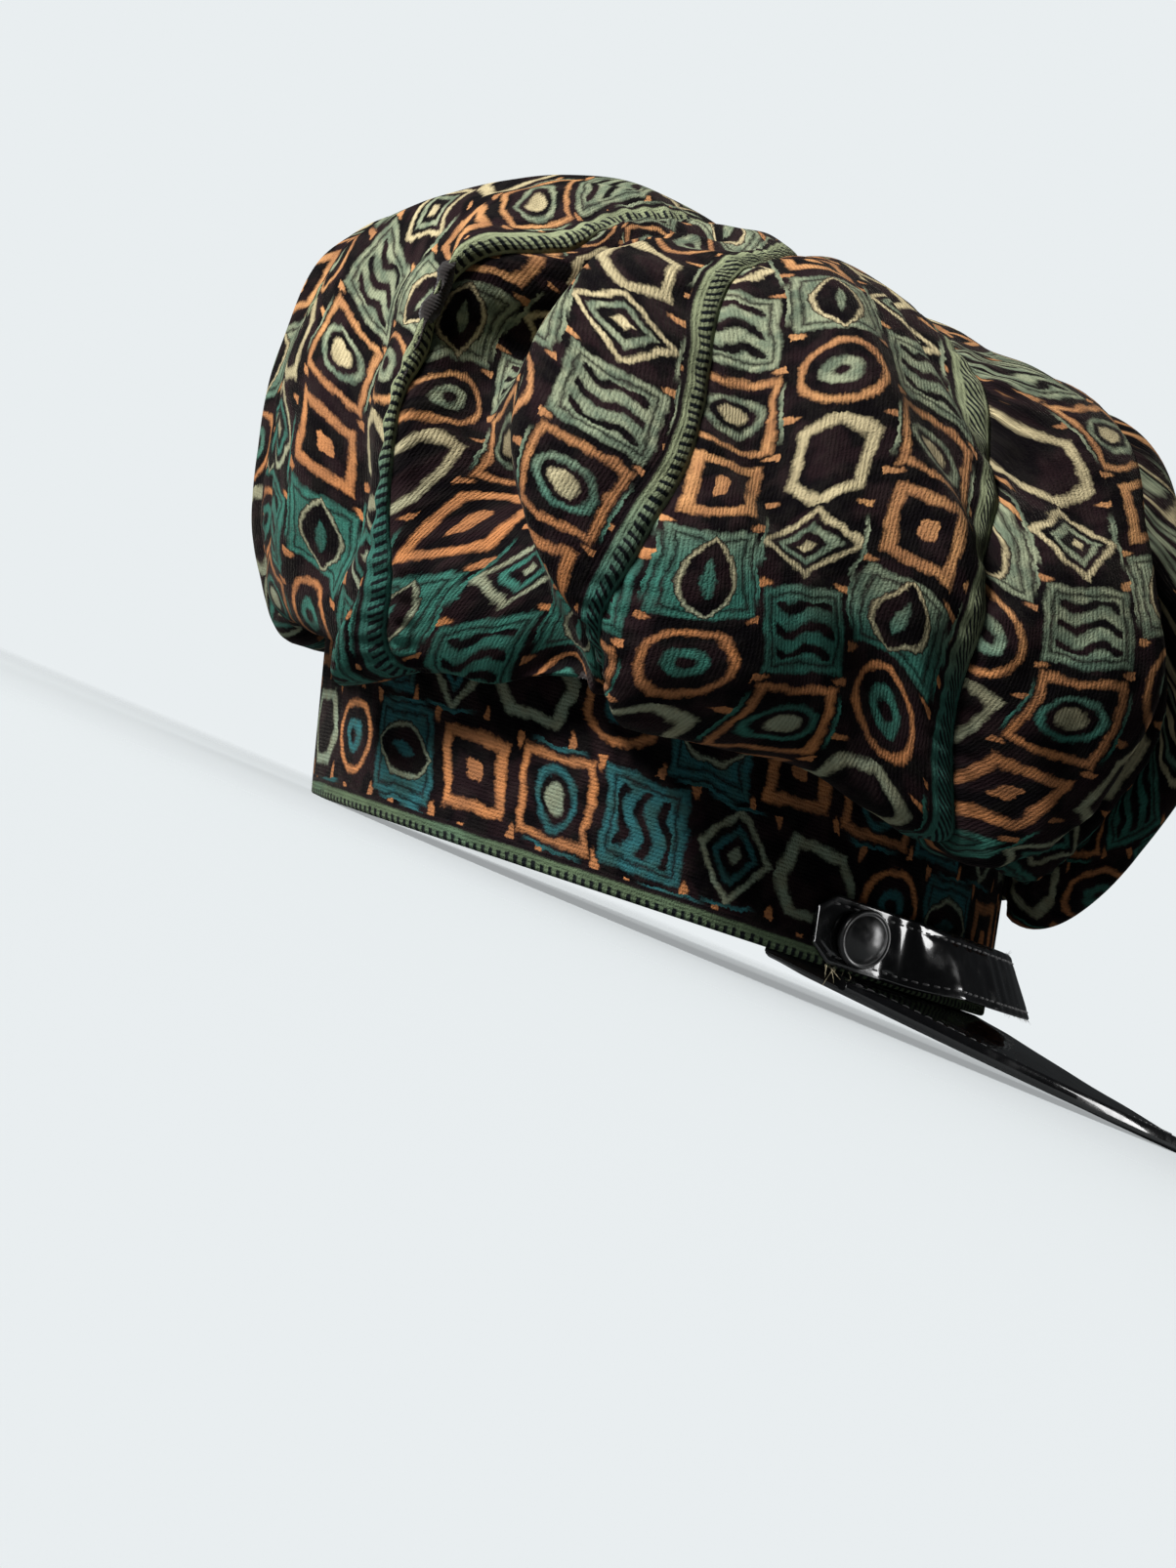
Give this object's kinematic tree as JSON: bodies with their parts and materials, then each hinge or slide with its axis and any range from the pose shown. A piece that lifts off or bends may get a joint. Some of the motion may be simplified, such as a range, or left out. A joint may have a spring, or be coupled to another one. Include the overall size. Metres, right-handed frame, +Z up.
{
  "type": "eight-panel cap",
  "caption": "Full eight-panel cloth cap with a deep band, a short glossy peak, and a buttoned strap across the front.",
  "frame": {"origin": "on the surface that the cap rests on, under the middle of its bounding box", "axes": "+X out over the peak, +Y towards the wearer's left, +Z up"},
  "size_m": [0.3158, 0.2686, 0.1854],
  "materials": {
    "printed_velvet": "short-pile printed velvet with fine ribs",
    "sweatband": "matte woven tape",
    "patent": "high gloss patent, slightly creased",
    "buttons": "high gloss"
  },
  "bodies": {
    "root": {"crown_panel_1": "printed_velvet", "crown_panel_2": "printed_velvet", "crown_panel_3": "printed_velvet", "crown_panel_4": "printed_velvet", "crown_panel_5": "printed_velvet", "crown_panel_6": "printed_velvet", "crown_panel_7": "printed_velvet", "crown_panel_8": "printed_velvet", "band": "printed_velvet", "sweatband": "sweatband", "peak": "patent", "strap": "patent", "strap_button_right": "buttons", "strap_button_left": "buttons"}
  },
  "joints": []
}
